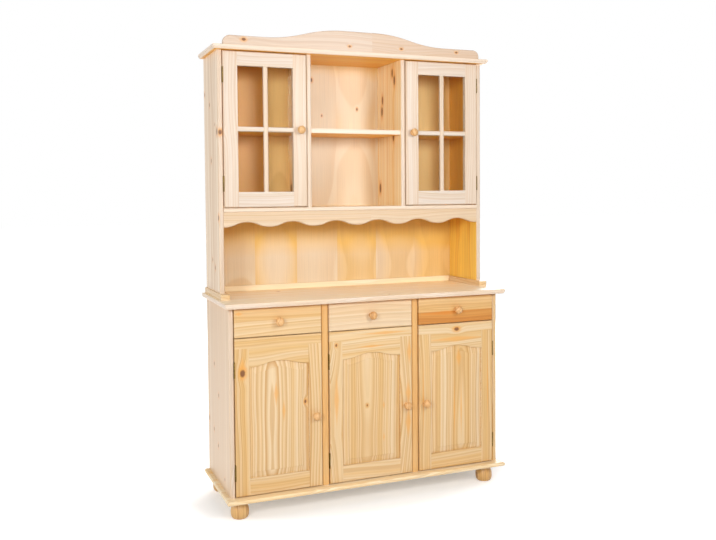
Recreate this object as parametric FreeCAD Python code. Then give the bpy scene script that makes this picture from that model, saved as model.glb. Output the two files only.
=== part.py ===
import FreeCAD, Part
import os

# Pine hutch: a three-door, three-drawer base cabinet carrying a glazed upper cabinet over an open niche.
# Millimetres, +Z up, front towards -Y, origin under the middle of the whole piece.

# Carcass
carcass_width = 1150.0
carcass_depth = 384.0
panel_thickness = 18.0
back_thickness = 8.0
back_rebate = 9.0
housing_depth = 5.0
panel_ease = 2.5

# Feet, base board and worktop
foot_height = 71.0
foot_diameter = 70.0
foot_collar_diameter = 61.0
foot_collar_height = 16.0
foot_tread_diameter = 52.0
foot_swell_height = 19.0
foot_belly_height = 18.0
foot_side_inset = 42.0
foot_front_inset = 32.0
foot_back_inset = 36.0
base_board_thickness = 16.0
base_board_round = 7.0
base_side_height = 717.0
worktop_thickness = 20.0
board_side_overhang = 20.0
board_front_overhang = 40.0
moulding_round = 3.0
moulding_step = 2.0
moulding_ovolo = 8.0

# Base bays and their shelves
centre_bay_width = 362.0
divider_thickness = 26.0
base_shelf_height = 300.0
base_shelf_setback = 24.0

# Doors and drawer fronts, set between the carcass edges
front_gap = 3.0
front_thickness = 20.0
front_proud = 6.0
front_ease = 3.0

# Panelled cupboard doors
stile_width = 54.0
top_rail_height = 111.0
top_band_height = 38.0
bottom_rail_height = 65.0
arch_rise = 19.0
panel_groove_depth = 10.0
panel_groove_play = 1.0
panel_tongue = 6.0
panel_sight_gap = 0.6
panel_bevel = 24.0
panel_field_step = 1.6
panel_field_recess = 1.0

# Glazed doors
glazed_stile_width = 56.0
glazed_top_rail = 55.0
glazed_bottom_rail = 59.0
glazing_bar_width = 18.0
glazing_bar_ease = 2.0
glazing_lip = 11.0
glass_rebate = 8.0
glass_play = 1.0
glass_thickness = 3.0

# Drawers and their runners
drawer_front_height = 109.0
drawer_back_gap = 32.0
drawer_box_height = 84.0
drawer_box_lift = 9.0
drawer_side_gap = 6.0
drawer_wall = 12.0
drawer_bottom_thickness = 5.0
drawer_bottom_lift = 6.0
drawer_bottom_housing = 5.0
drawer_runner_height = 14.0
drawer_runner_lift = 38.0
drawer_runner_engagement = 5.0
drawer_runner_clearance = 0.4
drawer_stop_gap = 0.3

# Lift-off hinges
hinge_height = 60.0
hinge_leaf_gap = 0.4
hinge_leaf_width = 16.0
hinge_barrel_radius = 1.7
hinge_knuckle_clearance = 0.3
hinge_barrel_clearance = 0.45
hinge_top_offset = 117.0
hinge_bottom_offset = 91.0
glazed_hinge_offset = 91.0

# Turned knobs
knob_length = 31.0
knob_radius = 15.5
knob_neck_radius = 8.0
knob_neck_reach = 10.0
knob_rim_reach = 21.0
knob_crown_radius = 9.0
door_knob_drop = 319.0

# Door stops
stop_width = 30.0
stop_depth = 14.0
stop_height = 10.0
stop_gap = 0.3
stop_offset = 26.0

# Upper cabinet
upper_depth = 254.0
upper_side_height = 937.0
foot_runner_height = 22.0
foot_runner_width = 37.0
foot_runner_side_overhang = 7.0
foot_runner_front_overhang = 46.0
foot_runner_round = 9.0
niche_rail_thickness = 18.0
niche_height = 336.0
bottom_board_thickness = 16.0
bottom_board_proud = 3.0
bottom_board_ease = 3.0
upper_centre_bay_width = 395.0
upper_shelf_rise = 297.0
centre_shelf_setback = 6.0
glazed_shelf_setback = 8.0

# Valance, cornice and crest
valance_height = 60.0
valance_thickness = 18.0
valance_setback = 2.0
valance_rise = 20.0
valance_arches = 6
valance_ease = 3.0
cornice_thickness = 18.0
cornice_side_overhang = 22.0
cornice_front_overhang = 28.0
crest_thickness = 18.0
crest_front_inset = 6.0
crest_end_inset = 41.0
crest_height = 80.0
crest_shoulder_height = 36.0
crest_level_width = 140.0
crest_fall_width = 320.0
crest_end_round = 27.0
crest_ease = 2.5

# An eased or rounded edge takes at most this share of the board it is worked on
edge_limit_share = 0.45

# Levels
base_level = foot_height + base_board_thickness
base_top = base_level + base_side_height
worktop_level = base_top + worktop_thickness
upper_level = worktop_level + foot_runner_height
niche_top = worktop_level + niche_height
bay_level = niche_top + bottom_board_thickness
cornice_level = upper_level + upper_side_height
crest_level = cornice_level + cornice_thickness

# Planes seen from above
back = (carcass_depth + board_front_overhang) / 2
carcass_front = back - carcass_depth
upper_front = back - upper_depth
back_face = back - back_thickness
half_width = carcass_width / 2
inner_half = half_width - panel_thickness
rebate_half = half_width - back_rebate
centre_half = centre_bay_width / 2
divider_half = centre_half + divider_thickness
upper_centre_half = upper_centre_bay_width / 2
partition_half = upper_centre_half + panel_thickness
base_face = carcass_front - front_proud
upper_face = upper_front - front_proud
drawer_back = back_face - drawer_back_gap

# Fronts of the base, from the worktop down
drawer_top = base_top - front_gap
drawer_foot = drawer_top - drawer_front_height
door_top = drawer_foot - front_gap
door_foot = base_level + front_gap
glazed_top = cornice_level - front_gap
glazed_foot = bay_level + front_gap
base_shelf_level = base_level + base_shelf_height
upper_shelf_level = bay_level + upper_shelf_rise

base_bays = {
    "left": (-inner_half, -divider_half),
    "centre": (-centre_half, centre_half),
    "right": (divider_half, inner_half),
}
glazed_bays = {
    "left": (-inner_half, -partition_half),
    "right": (partition_half, inner_half),
}
base_hinge_sides = {"left": "left", "centre": "left", "right": "right"}
glazed_hinge_sides = {"left": "left", "right": "right"}


def vec(x, y, z):
    return FreeCAD.Vector(x, y, z)


def block(x0, x1, y0, y1, z0, z1):
    return Part.makeBox(x1 - x0, y1 - y0, z1 - z0, vec(x0, y0, z0))


def save(name, *solids):
    shape = solids[0] if len(solids) == 1 else Part.makeCompound(list(solids))
    shape.exportStep("parts/" + name + ".step")


def line(start, end):
    return Part.LineSegment(start, end).toShape()


def arc(start, middle, end):
    return Part.Arc(start, middle, end).toShape()


def ogee(start, end):
    # Two equal arcs that leave the start level, cross over halfway and arrive level at the end
    run = (end.x - start.x) / 2
    rise = (end.z - start.z) / 2
    radius = (run ** 2 + rise ** 2) / (2 * abs(rise))
    bend = radius - (radius ** 2 - (run / 2) ** 2) ** 0.5
    lean = bend if rise > 0 else -bend
    cross = (start + end) / 2
    first = vec(start.x + run / 2, start.y, start.z + lean)
    second = vec(end.x - run / 2, end.y, end.z - lean)
    return [arc(start, first, cross), arc(cross, second, end)]


def outline_face(edges):
    return Part.Face(Part.Wire(Part.__sortEdges__(edges)))


def prism(edges, direction):
    return outline_face(edges).extrude(direction)


def flat_sided(solid):
    # Gives the four-cornered flat sides of a lofted solid true planes
    faces = []
    for face in solid.Faces:
        corners = [vertex.Point for vertex in face.OuterWire.OrderedVertexes]
        flat = len(corners) == 4 and face.findPlane()
        faces.append(Part.Face(Part.makePolygon(corners + corners[:1])) if flat else face)
    shell = Part.makeShell(faces)
    shell.sewShape()
    return Part.Solid(shell)


def limited(size, wall):
    return min(size, wall * edge_limit_share)


def lies_at(edge, axis, place):
    box = edge.BoundBox
    low, high = {"x": (box.XMin, box.XMax), "y": (box.YMin, box.YMax), "z": (box.ZMin, box.ZMax)}[axis]
    slack = box.DiagonalLength / 1000
    return abs(low - place) < slack and abs(high - place) < slack


def ease_edges(solid, width, wanted):
    return solid.makeChamfer(width, [edge for edge in solid.Edges if wanted(edge)])


def upright_at(place):
    # Picks the vertical edges in the plane y = place
    def wanted(edge):
        return lies_at(edge, "y", place) and edge.BoundBox.ZLength > edge.BoundBox.XLength
    return wanted


def level_at(place):
    # Picks the edges along X in the plane y = place
    def wanted(edge):
        return lies_at(edge, "y", place) and edge.BoundBox.XLength > edge.BoundBox.ZLength
    return wanted


def mirrored(solid):
    return solid.mirror(vec(0, 0, 0), vec(1, 0, 0))


# Boards with a moulded edge on the front and both ends

def moulded_edge(point, thickness, top_round, step, low_round):
    # Edges of the moulding from the top face down; point(inset, height) places them
    bend = 1 - 0.5 ** 0.5
    nose = point(0, low_round)
    shoulder = point(step, low_round)
    edges = [
        arc(point(top_round, thickness),
            point(top_round * bend, thickness - top_round * bend),
            point(0, thickness - top_round)),
        line(point(0, thickness - top_round), nose),
        arc(shoulder,
            point(step + low_round * bend, low_round * bend),
            point(step + low_round, 0)),
    ]
    if step > 0:
        edges.append(line(nose, shoulder))
    return edges


def moulded_board(half, front, level, thickness, top_round, step, low_round):
    top_round = limited(top_round, thickness)
    low_round = limited(low_round, thickness)
    run = step + low_round

    def front_point(inset, height):
        return vec(-half, front + inset, level + height)

    def left_point(inset, height):
        return vec(-half + inset, front, level + height)

    def right_point(inset, height):
        return vec(half - inset, front, level + height)

    profile = (thickness, top_round, step, low_round)
    back_low = vec(-half, back, level)
    back_high = vec(-half, back, level + thickness)
    along = moulded_edge(front_point, *profile)
    along += [line(front_point(run, 0), back_low), line(back_low, back_high)]
    along += [line(back_high, front_point(top_round, thickness))]
    across = moulded_edge(left_point, *profile) + moulded_edge(right_point, *profile)
    across += [line(left_point(run, 0), right_point(run, 0))]
    across += [line(left_point(top_round, thickness), right_point(top_round, thickness))]
    lengthwise = prism(along, vec(2 * half, 0, 0))
    crosswise = prism(across, vec(0, back - front, 0))
    return lengthwise.common(crosswise)


# Base cabinet

def bun_foot(x, y):
    # A turned bun that swells from its tread to its belly, then draws in to a plain collar
    tread = foot_tread_diameter / 2
    belly = foot_diameter / 2
    collar = foot_collar_diameter / 2
    collar_foot = foot_height - foot_collar_height
    corners = [
        vec(0, 0, 0),
        vec(tread, 0, 0),
        vec(belly, 0, foot_swell_height),
        vec(belly, 0, foot_swell_height + foot_belly_height),
        vec(collar, 0, collar_foot),
        vec(collar, 0, foot_height),
        vec(0, 0, foot_height),
    ]
    edges = [line(start, end) for start, end in zip(corners, corners[1:] + corners[:1])]
    foot = outline_face(edges).revolve(vec(0, 0, 0), vec(0, 0, 1), 360)
    foot.translate(vec(x, y, 0))
    return foot


def bun_feet():
    across = half_width - foot_side_inset
    places = (carcass_front + foot_front_inset, back - foot_back_inset)
    return [bun_foot(side * across, y) for y in places for side in (-1, 1)]


def housing(x0, x1, front, level):
    return block(x0, x1, front, back_face, level, level + panel_thickness)


def base_side_left():
    side = block(-half_width, -inner_half, carcass_front, back, base_level, base_top)
    side = ease_edges(side, panel_ease, upright_at(carcass_front))
    rebate = block(-rebate_half, -inner_half, back_face, back, base_level, base_top)
    slot = housing(-inner_half - housing_depth, -inner_half, base_shelf_front(), base_shelf_level)
    return side.cut(rebate).cut(slot)


def base_divider_left():
    divider = block(-divider_half, -centre_half, carcass_front, back_face, base_level, base_top)
    divider = ease_edges(divider, panel_ease, upright_at(carcass_front))
    for x in (-divider_half, -centre_half - housing_depth):
        divider = divider.cut(housing(x, x + housing_depth, base_shelf_front(), base_shelf_level))
    return divider


def base_shelf_front():
    return base_face + front_thickness + base_shelf_setback


def base_shelf(bay):
    left, right = base_bays[bay]
    return housing(left - housing_depth, right + housing_depth, base_shelf_front(), base_shelf_level)


def base_back_panel():
    return block(-rebate_half, rebate_half, back_face, back, base_level, base_top)


def base_board():
    front = carcass_front - board_front_overhang
    half = half_width + board_side_overhang
    return moulded_board(half, front, foot_height, base_board_thickness,
                         base_board_round, 0, base_board_round)


def worktop():
    front = carcass_front - board_front_overhang
    half = half_width + board_side_overhang
    return moulded_board(half, front, base_top, worktop_thickness,
                         moulding_round, moulding_step, moulding_ovolo)


def drawer_runner_level():
    return drawer_foot + drawer_box_lift + drawer_runner_lift


def drawer_runners(bay):
    left, right = base_bays[bay]
    front = base_face + front_thickness + drawer_stop_gap
    reach = drawer_side_gap + drawer_runner_engagement
    low = drawer_runner_level()
    high = low + drawer_runner_height
    return [block(left, left + reach, front, back_face, low, high),
            block(right - reach, right, front, back_face, low, high)]


def door_stop(x, face, level):
    front = face + front_thickness + stop_gap
    half = stop_width / 2
    return block(x - half, x + half, front, front + stop_depth, level, level + stop_height)


def door_stops():
    blocks = []
    for bay, (left, right) in base_bays.items():
        x = knob_place(left, right, base_hinge_sides[bay], stop_offset)
        blocks.append(door_stop(x, base_face, base_level))
    for bay, (left, right) in glazed_bays.items():
        x = knob_place(left, right, glazed_hinge_sides[bay], stop_offset)
        blocks.append(door_stop(x, upper_face, bay_level))
    return blocks


# Turned knobs, screwed to the face of their stile or drawer front

def knob_place(left, right, hinge_side, inset):
    return right - front_gap - inset if hinge_side == "left" else left + front_gap + inset


def knob(x, face, z):
    # A plain neck under a mushroom head with a bevelled crown
    corners = [
        vec(0, 0, 0),
        vec(knob_neck_radius, 0, 0),
        vec(knob_neck_radius, -knob_neck_reach, 0),
        vec(knob_radius, -knob_rim_reach, 0),
        vec(knob_crown_radius, -knob_length, 0),
        vec(0, -knob_length, 0),
    ]
    edges = [line(start, end) for start, end in zip(corners, corners[1:] + corners[:1])]
    turned = outline_face(edges).revolve(vec(0, 0, 0), vec(0, 1, 0), 360)
    turned.translate(vec(x, face, z))
    return turned


# Panelled doors

def front_slab(left, right, face, foot, top):
    slab = block(left, right, face, face + front_thickness, foot, top)
    return ease_edges(slab, front_ease, lambda edge: lies_at(edge, "y", face))


def arched_outline(left, right, foot, shoulder, y):
    # Closed outline with a gentle arch that rises from level shoulders
    low_left = vec(left, y, foot)
    low_right = vec(right, y, foot)
    high_left = vec(left, y, shoulder)
    high_right = vec(right, y, shoulder)
    crown = vec((left + right) / 2, y, shoulder + arch_rise)
    edges = [line(low_left, low_right), line(low_right, high_right), line(high_left, low_left)]
    edges += ogee(high_left, crown) + ogee(crown, high_right)
    return Part.Wire(Part.__sortEdges__(edges))


def door_span(bay):
    left, right = base_bays[bay]
    return left + front_gap, right - front_gap


def door_opening(bay, inset, y):
    left, right = door_span(bay)
    return arched_outline(left + stile_width + inset, right - stile_width - inset,
                          door_foot + bottom_rail_height + inset,
                          door_top - top_rail_height - inset, y)


def tongue_front():
    return base_face + (front_thickness - panel_tongue) / 2


def door_frame(bay):
    left, right = door_span(bay)
    rear = base_face + front_thickness
    frame = front_slab(left, right, base_face, door_foot, door_top)
    frame = frame.cut(Part.Face(door_opening(bay, 0, base_face)).extrude(vec(0, front_thickness, 0)))
    groove = Part.Face(door_opening(bay, -panel_groove_depth, tongue_front()))
    frame = frame.cut(groove.extrude(vec(0, panel_tongue, 0)))
    band_foot = door_top - top_band_height
    middle = (door_foot + door_top) / 2
    inner_left = left + stile_width
    inner_right = right - stile_width
    stiles = [frame.common(block(left, inner_left, base_face, rear, door_foot, band_foot)),
              frame.common(block(inner_right, right, base_face, rear, door_foot, band_foot))]
    band = block(left, right, base_face, rear, band_foot, door_top)
    arch = block(inner_left, inner_right, base_face, rear, middle, band_foot)
    top_rail = frame.common(band.fuse(arch).removeSplitter())
    bottom_rail = frame.common(block(inner_left, inner_right, base_face, rear, door_foot, middle))
    return stiles + [top_rail, bottom_rail]


def door_panel(bay):
    # A tongue that floats in the groove, bevels inside the sight line, and a field one step proud of them
    outline = door_opening(bay, panel_groove_play - panel_groove_depth, tongue_front())
    tongue = Part.Face(outline).extrude(vec(0, panel_tongue, 0))
    sight = door_opening(bay, panel_sight_gap, tongue_front())
    field = door_opening(bay, panel_bevel, base_face + panel_field_recess + panel_field_step)
    bevel = flat_sided(Part.makeLoft([sight, field], True, True))
    raised = Part.Face(field).extrude(vec(0, -panel_field_step, 0))
    return tongue.fuse(bevel).fuse(raised)


# Lift-off hinges: the frame half carries the lower knuckle, the door half the upper one

def knuckle(low, high):
    return Part.makeCylinder(hinge_barrel_radius, high - low, vec(0, 0, low), vec(0, 0, 1))


def hinge_axis_proud():
    # How far the pin stands before the door's face for its barrel to clear the door's eased corner
    reach = (hinge_barrel_radius + hinge_barrel_clearance) * 2 ** 0.5
    return reach - front_gap / 2 - front_ease


def hinge_half(edge, end, low, high, knuckle_low, knuckle_high):
    # A leaf that lies against the wood at x = edge, let into its own knuckle and clear of the other
    inner = hinge_leaf_gap / 2 if edge > 0 else -hinge_leaf_gap / 2
    clear = hinge_barrel_radius + hinge_knuckle_clearance
    near, far = min(edge, inner), max(edge, inner)
    leaf = block(near, far, clear, end, low, high)
    neck = block(near, far, 0, clear, knuckle_low, knuckle_high)
    return leaf.fuse(neck).fuse(knuckle(knuckle_low, knuckle_high)).removeSplitter()


def hinge_halves():
    # A left-hand hinge about the origin; the frame is at -X and the door at +X
    half = hinge_height / 2
    edge = front_gap / 2
    split = hinge_knuckle_clearance / 2
    frame_end = hinge_axis_proud() + front_proud + hinge_leaf_width
    door_end = hinge_axis_proud() + front_ease + hinge_leaf_width
    frame = hinge_half(-edge, frame_end, -half, half, -half, -split)
    door = hinge_half(edge, door_end, -half, half, split, half)
    return frame, door


def hinge_pairs(span, hinge_side, face, levels):
    # The frame halves and the door halves of one door's two hinges
    left, right = span
    frames = []
    doors = []
    for z in levels:
        halves = hinge_halves()
        x = left + front_gap / 2
        if hinge_side == "right":
            halves = [mirrored(half) for half in halves]
            x = right - front_gap / 2
        for half in halves:
            half.translate(vec(x, face - hinge_axis_proud(), z))
        frames.append(halves[0])
        doors.append(halves[1])
    return frames, doors


# Drawers

def drawer_box_span(bay):
    left, right = base_bays[bay]
    return left + drawer_side_gap, right - drawer_side_gap


def drawer_front(bay):
    left, right = door_span(bay)
    return front_slab(left, right, base_face, drawer_foot, drawer_top)


def drawer_box(bay):
    left, right = drawer_box_span(bay)
    front = base_face + front_thickness
    rear = drawer_back
    low = drawer_foot + drawer_box_lift
    high = low + drawer_box_height
    bottom_low = low + drawer_bottom_lift
    bottom_high = bottom_low + drawer_bottom_thickness
    deep = drawer_runner_engagement + drawer_runner_clearance
    slot_low = drawer_runner_level() - drawer_runner_clearance
    slot_high = drawer_runner_level() + drawer_runner_height + drawer_runner_clearance
    walls = []
    for outer, side in ((left, 1), (right, -1)):
        inner = outer + side * drawer_wall
        wall = block(min(outer, inner), max(outer, inner), front, rear, low, high)
        sunk = outer + side * deep
        wall = wall.cut(block(min(outer, sunk), max(outer, sunk), front, rear, slot_low, slot_high))
        sunk = inner - side * drawer_bottom_housing
        wall = wall.cut(block(min(inner, sunk), max(inner, sunk), front, rear, bottom_low, bottom_high))
        walls.append(wall)
    walls.append(block(left + drawer_wall, right - drawer_wall, rear - drawer_wall, rear, bottom_high, high))
    return walls


def drawer_bottom(bay):
    left, right = drawer_box_span(bay)
    front = base_face + front_thickness
    low = drawer_foot + drawer_box_lift + drawer_bottom_lift
    inset = drawer_wall - drawer_bottom_housing
    return block(left + inset, right - inset, front, drawer_back, low, low + drawer_bottom_thickness)


# Upper cabinet

def foot_runner_left():
    left = -half_width - foot_runner_side_overhang
    front = upper_front - foot_runner_front_overhang
    runner = block(left, left + foot_runner_width, front, back, worktop_level, upper_level)
    corners = [edge for edge in runner.Edges if upright_at(front)(edge)]
    return runner.makeFillet(limited(foot_runner_round, foot_runner_width), corners)


def niche_back_rail():
    half = half_width + foot_runner_side_overhang - foot_runner_width
    return block(-half, half, back - niche_rail_thickness, back, worktop_level, upper_level)


def glazed_shelf_front():
    return upper_face + front_thickness + glazed_shelf_setback


def upper_side_left():
    side = block(-half_width, -inner_half, upper_front, back, upper_level, cornice_level)
    side = ease_edges(side, panel_ease, upright_at(upper_front))
    rebate = block(-rebate_half, -inner_half, back_face, back, upper_level, cornice_level)
    sunk = -inner_half - housing_depth
    board_slot = block(sunk, -inner_half, upper_front + panel_ease, back_face, niche_top, bay_level)
    shelf_slot = housing(sunk, -inner_half, glazed_shelf_front(), upper_shelf_level)
    return side.cut(rebate).cut(board_slot).cut(shelf_slot)


def upper_bottom_board():
    front = upper_front - bottom_board_proud
    board = block(-inner_half, inner_half, front, back_face, niche_top, bay_level)
    board = ease_edges(board, limited(bottom_board_ease, bottom_board_thickness), level_at(front))
    half = inner_half + housing_depth
    tenons = block(-half, half, upper_front + panel_ease, back_face, niche_top, bay_level)
    return board.fuse(tenons).removeSplitter()


def upper_back_panel():
    return block(-rebate_half, rebate_half, back_face, back, upper_level, cornice_level)


def partition_left():
    wall = block(-partition_half, -upper_centre_half, upper_front, back_face, bay_level, cornice_level)
    wall = ease_edges(wall, panel_ease, upright_at(upper_front))
    outer_slot = housing(-partition_half, -partition_half + housing_depth,
                         glazed_shelf_front(), upper_shelf_level)
    inner_slot = housing(-upper_centre_half - housing_depth, -upper_centre_half,
                         upper_front + centre_shelf_setback, upper_shelf_level)
    return wall.cut(outer_slot).cut(inner_slot)


def upper_shelf(left, right, front):
    return housing(left - housing_depth, right + housing_depth, front, upper_shelf_level)


def valance():
    # A wave of equal arcs along the lower edge, with a half lobe at each end
    front = upper_front + valance_setback
    low = niche_top - valance_height
    step = inner_half / valance_arches
    turns = [vec(-inner_half + step * index, front, low + valance_rise * (index % 2))
             for index in range(2 * valance_arches + 1)]
    crossings = [(start + end) / 2 for start, end in zip(turns, turns[1:])]
    edges = [arc(*bend) for bend in zip(crossings, turns[1:], crossings[1:])]
    edges += [ogee(turns[0], turns[1])[0], ogee(turns[-2], turns[-1])[1]]
    high_left = vec(-inner_half, front, niche_top)
    high_right = vec(inner_half, front, niche_top)
    edges += [line(turns[-1], high_right), line(high_right, high_left), line(high_left, turns[0])]
    board = prism(edges, vec(0, valance_thickness, 0))

    def wave(edge):
        return lies_at(edge, "y", front) and edge.BoundBox.ZMax < low + valance_height / 2
    return ease_edges(board, limited(valance_ease, valance_thickness), wave)


def cornice_half():
    return half_width + cornice_side_overhang


def cornice_board():
    front = upper_front - cornice_front_overhang
    return moulded_board(cornice_half(), front, cornice_level, cornice_thickness,
                         moulding_round, moulding_step, moulding_ovolo)


def crest_board():
    # A raised middle that falls in two ogees to level shoulders with rounded ends
    front = upper_front - cornice_front_overhang + crest_front_inset
    half = cornice_half() - crest_end_inset
    crown = crest_level + crest_height
    shoulder = crest_level + crest_shoulder_height
    bend = crest_end_round * (1 - 0.5 ** 0.5)
    edges = []
    for side in (-1, 1):
        brow = vec(side * crest_level_width / 2, front, crown)
        knee = vec(brow.x + side * crest_fall_width, front, shoulder)
        corner = vec(side * (half - crest_end_round), front, shoulder)
        tip = vec(side * half, front, shoulder - crest_end_round)
        edges += ogee(brow, knee)
        edges.append(line(knee, corner))
        edges.append(arc(corner, vec(side * (half - bend), front, shoulder - bend), tip))
        edges.append(line(tip, vec(side * half, front, crest_level)))
    edges.append(line(vec(-half, front, crest_level), vec(half, front, crest_level)))
    edges.append(line(vec(-crest_level_width / 2, front, crown), vec(crest_level_width / 2, front, crown)))
    board = prism(edges, vec(0, crest_thickness, 0))

    def upper_edge(edge):
        return lies_at(edge, "y", front) and edge.BoundBox.ZMax > crest_level + crest_height / 1000
    return ease_edges(board, limited(crest_ease, crest_thickness), upper_edge)


# Glazed doors

def glazed_span(bay):
    left, right = glazed_bays[bay]
    return left + front_gap, right - front_gap


def glazed_sight(bay):
    left, right = glazed_span(bay)
    return (left + glazed_stile_width, right - glazed_stile_width,
            glazed_foot + glazed_bottom_rail, glazed_top - glazed_top_rail)


def glazing_bars(sight):
    left, right, low, high = sight
    half = glazing_bar_width / 2
    x = (left + right) / 2
    z = upper_shelf_level + panel_thickness / 2
    rear = upper_face + glazing_lip
    ease = limited(glazing_bar_ease, glazing_bar_width)
    upright = block(x - half, x + half, upper_face, rear, low, high)
    levels = [block(left, x - half, upper_face, rear, z - half, z + half),
              block(x + half, right, upper_face, rear, z - half, z + half)]
    bars = [ease_edges(bar, ease, level_at(upper_face)) for bar in levels]
    return bars + [ease_edges(upright, ease, upright_at(upper_face))]


def glazing_beads(sight):
    left, right, low, high = sight
    front = upper_face + glazing_lip + glass_thickness
    rear = upper_face + front_thickness
    out = glass_rebate
    return [block(left - out, left, front, rear, low - out, high + out),
            block(right, right + out, front, rear, low - out, high + out),
            block(left, right, front, rear, low - out, low),
            block(left, right, front, rear, high, high + out)]


def glazed_frame(bay):
    left, right = glazed_span(bay)
    sight = glazed_sight(bay)
    inner_left, inner_right, low, high = sight
    rear = upper_face + front_thickness
    out = glass_rebate
    frame = front_slab(left, right, upper_face, glazed_foot, glazed_top)
    frame = frame.cut(block(inner_left, inner_right, upper_face, rear, low, high))
    frame = frame.cut(block(inner_left - out, inner_right + out, upper_face + glazing_lip, rear,
                            low - out, high + out))
    stiles = [frame.common(block(left, inner_left, upper_face, rear, glazed_foot, glazed_top)),
              frame.common(block(inner_right, right, upper_face, rear, glazed_foot, glazed_top))]
    rails = [frame.common(block(inner_left, inner_right, upper_face, rear, glazed_foot, low)),
             frame.common(block(inner_left, inner_right, upper_face, rear, high, glazed_top))]
    return stiles + rails + glazing_bars(sight) + glazing_beads(sight)


def glass_pane(bay):
    left, right, low, high = glazed_sight(bay)
    out = glass_rebate - glass_play
    front = upper_face + glazing_lip
    return block(left - out, right + out, front, front + glass_thickness, low - out, high + out)


# One file for each piece

def save_base():
    save("base_board", base_board())
    save("bun_feet", *bun_feet())
    save("base_side_left", base_side_left())
    save("base_side_right", mirrored(base_side_left()))
    save("base_divider_left", base_divider_left())
    save("base_divider_right", mirrored(base_divider_left()))
    save("base_back_panel", base_back_panel())
    save("worktop", worktop())
    save("door_stops", *door_stops())
    for bay in base_bays:
        save("base_shelf_" + bay, base_shelf(bay))
        save("drawer_runners_" + bay, *drawer_runners(bay))


def save_upper():
    save("foot_runner_left", foot_runner_left())
    save("foot_runner_right", mirrored(foot_runner_left()))
    save("niche_back_rail", niche_back_rail())
    save("upper_side_left", upper_side_left())
    save("upper_side_right", mirrored(upper_side_left()))
    save("upper_back_panel", upper_back_panel())
    save("upper_bottom_board", upper_bottom_board())
    save("valance", valance())
    save("partition_left", partition_left())
    save("partition_right", mirrored(partition_left()))
    save("upper_shelf_centre", upper_shelf(-upper_centre_half, upper_centre_half,
                                           upper_front + centre_shelf_setback))
    for bay, (left, right) in glazed_bays.items():
        save("upper_shelf_" + bay, upper_shelf(left, right, glazed_shelf_front()))
    save("cornice_board", cornice_board())
    save("crest_board", crest_board())


def save_base_fronts():
    levels = (door_foot + hinge_bottom_offset, door_top - hinge_top_offset)
    for bay, span in base_bays.items():
        hinge_side = base_hinge_sides[bay]
        frames, doors = hinge_pairs(span, hinge_side, base_face, levels)
        x = knob_place(*span, hinge_side, stile_width / 2)
        save("door_frame_" + bay, *door_frame(bay), knob(x, base_face, door_top - door_knob_drop))
        save("door_panel_" + bay, door_panel(bay))
        save("door_hinges_" + bay, *doors)
        save("base_hinges_" + bay, *frames)


def save_drawers():
    for bay, (left, right) in base_bays.items():
        middle = (drawer_foot + drawer_top) / 2
        save("drawer_front_" + bay, drawer_front(bay), knob((left + right) / 2, base_face, middle))
        save("drawer_box_" + bay, *drawer_box(bay))
        save("drawer_bottom_" + bay, drawer_bottom(bay))


def save_glazed_fronts():
    levels = (glazed_foot + glazed_hinge_offset, glazed_top - glazed_hinge_offset)
    bar_level = upper_shelf_level + panel_thickness / 2
    for bay, span in glazed_bays.items():
        hinge_side = glazed_hinge_sides[bay]
        frames, doors = hinge_pairs(span, hinge_side, upper_face, levels)
        x = knob_place(*span, hinge_side, glazed_stile_width / 2)
        save("glazed_frame_" + bay, *glazed_frame(bay), knob(x, upper_face, bar_level))
        save("glass_pane_" + bay, glass_pane(bay))
        save("glazed_hinges_" + bay, *doors)
        save("upper_hinges_" + bay, *frames)


os.makedirs("parts", exist_ok=True)
save_base()
save_upper()
save_base_fronts()
save_drawers()
save_glazed_fronts()
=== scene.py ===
import math

import bpy
from mathutils import Matrix, Vector


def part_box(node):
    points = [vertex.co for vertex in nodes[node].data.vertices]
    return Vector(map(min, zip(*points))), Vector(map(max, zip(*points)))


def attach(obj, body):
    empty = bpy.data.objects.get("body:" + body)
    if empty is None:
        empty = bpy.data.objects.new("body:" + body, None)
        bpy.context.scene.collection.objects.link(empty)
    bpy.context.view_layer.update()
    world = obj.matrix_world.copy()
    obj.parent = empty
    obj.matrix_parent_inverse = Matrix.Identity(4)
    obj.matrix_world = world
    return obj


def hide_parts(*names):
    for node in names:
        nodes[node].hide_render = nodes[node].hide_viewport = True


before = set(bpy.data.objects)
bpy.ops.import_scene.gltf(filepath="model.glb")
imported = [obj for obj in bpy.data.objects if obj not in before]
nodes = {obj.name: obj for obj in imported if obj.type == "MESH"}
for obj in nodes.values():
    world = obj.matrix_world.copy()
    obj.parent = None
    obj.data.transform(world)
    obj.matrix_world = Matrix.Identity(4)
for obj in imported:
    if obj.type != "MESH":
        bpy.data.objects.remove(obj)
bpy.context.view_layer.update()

# A lacquered pine hutch. Everything is in metres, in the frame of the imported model.
MM = 0.001


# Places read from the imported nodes

def low(node):
    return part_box(node)[0]


def high(node):
    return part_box(node)[1]


# Colours and nodes

def linear(code):
    """An sRGB hex colour as linear RGBA."""
    shares = [int(code[i:i + 2], 16) / 255 for i in (1, 3, 5)]
    return [s / 12.92 if s <= 0.04045 else ((s + 0.055) / 1.055) ** 2.4 for s in shares] + [1.0]


def add(tree, kind, inputs=(), output=0, **settings):
    """Adds one node and gives back one of its outputs. inputs is a list in the node's own order, or a
    dictionary by number or name; each entry is a socket to link or a plain value."""
    node = tree.nodes.new("ShaderNode" + kind)
    for name, value in settings.items():
        setattr(node, name, value)
    entries = inputs if isinstance(inputs, dict) else dict(enumerate(inputs))
    for name, value in entries.items():
        if isinstance(value, bpy.types.NodeSocket):
            tree.links.new(value, node.inputs[name])
        else:
            node.inputs[name].default_value = value
    return node.outputs[output]


def blank(name):
    """A new material and its empty node tree with an output node."""
    material = bpy.data.materials.new(name)
    material.use_nodes = True
    tree = material.node_tree
    tree.nodes.clear()
    return material, tree, tree.nodes.new("ShaderNodeOutputMaterial")


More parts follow.
